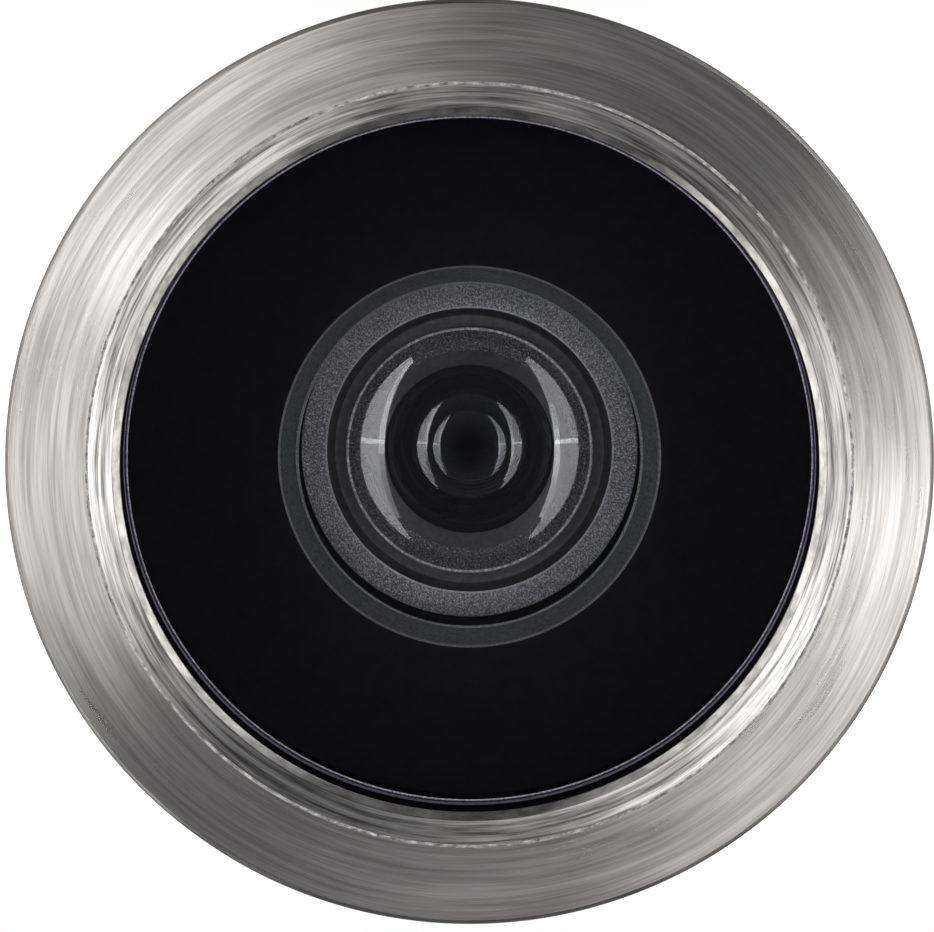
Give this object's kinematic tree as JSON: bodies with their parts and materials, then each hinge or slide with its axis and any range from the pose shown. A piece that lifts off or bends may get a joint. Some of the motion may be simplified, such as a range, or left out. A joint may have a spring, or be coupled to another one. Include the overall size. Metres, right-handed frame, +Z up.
{
  "type": "door peephole",
  "caption": "Wide-angle optical door viewer in brushed nickel: bezel with flat-fronted lens outside, screw-in eyepiece sleeve with a swinging privacy cover inside.",
  "frame": {"origin": "on the viewer's axis, in the plane where the outdoor gasket rests on the door's outer face", "axes": "+Y along the axis from outdoors to indoors, +Z up towards the privacy cover's pivot, +X completes the right-handed set (to the left for somebody indoors looking out)"},
  "size_m": [0.028, 0.0604, 0.028],
  "materials": {
    "brushed_nickel": "circular brushed satin nickel plate",
    "plated_brass": "turned brass, nickel plated",
    "optical_glass": "polished crown glass",
    "black_foil": "black opaque foil",
    "black_baffle": "fine-textured matt black",
    "black_rubber": "matt rubber",
    "black_nylon": "satin moulded plastic",
    "grey_felt": "dense felt",
    "bright_steel": "bright turned steel"
  },
  "bodies": {
    "outer": {"bezel_ring": "brushed_nickel", "outer_barrel": "plated_brass", "outer_gasket": "black_rubber", "lens_seal": "black_rubber", "front_lens": "optical_glass", "lens_mask": "black_foil", "baffle_ring": "black_baffle", "second_lens": "optical_glass", "lens_spacer": "black_baffle", "third_lens": "optical_glass", "objective_retainer": "plated_brass"},
    "washer": {"inner_washer": "black_nylon"},
    "sleeve": {"eyepiece_sleeve": "brushed_nickel", "sleeve_liner": "black_baffle", "eyepiece_lens": "optical_glass", "eyepiece_retainer": "black_baffle", "cover_pivot": "bright_steel", "spring_washer": "bright_steel", "stop_pin": "bright_steel"},
    "cover": {"privacy_cover": "brushed_nickel", "cover_pad": "grey_felt", "cover_knob": "bright_steel"}
  },
  "joints": [
    {"name": "washer_travel", "type": "slide", "parent": "outer", "child": "washer", "axis": [0, 1, 0], "range_m": [-0.009, 0.016]},
    {"name": "sleeve_turn", "type": "hinge", "parent": "washer", "child": "sleeve", "pos_m": [0, 0, 0], "axis": [0, 1, 0], "range_deg": [-3240, 5760]},
    {"name": "cover_swing", "type": "hinge", "parent": "sleeve", "child": "cover", "pos_m": [0, 0.0482, 0.011], "axis": [0, 1, 0], "range_deg": [0, 170]}
  ],
  "couplings": [
    {"joint": "washer_travel", "follows": "sleeve_turn", "m_per_rad": 0.00015915}
  ]
}
